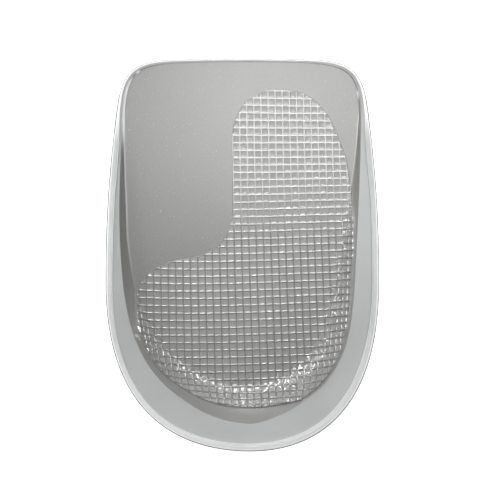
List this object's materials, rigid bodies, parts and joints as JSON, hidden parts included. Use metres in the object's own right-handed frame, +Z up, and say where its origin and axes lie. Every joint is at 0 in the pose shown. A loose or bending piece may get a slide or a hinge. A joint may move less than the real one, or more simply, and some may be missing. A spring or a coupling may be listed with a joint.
{
  "type": "gel heel cup with waffle pad",
  "caption": "Open heel cup with a flat base, a raised wall round the heel that falls to a thin front edge, and a J-shaped waffle gel pad on its floor.",
  "frame": {"origin": "middle of the bounding box at the flat base", "axes": "+Z up, +Y towards the toes, +X to the right of someone who looks down at it with the toes ahead"},
  "size_m": [0.0726, 0.1042, 0.024],
  "materials": {
    "shell_gel": "glossy, slightly translucent gel",
    "lining": "smooth satin gel, a little warmer and darker than the cup",
    "pad_gel": "clear glossy gel with a raised square grid"
  },
  "bodies": {
    "root": {"cup_shell": "shell_gel", "footbed_lining": "lining", "gel_pad": "pad_gel"}
  },
  "joints": []
}
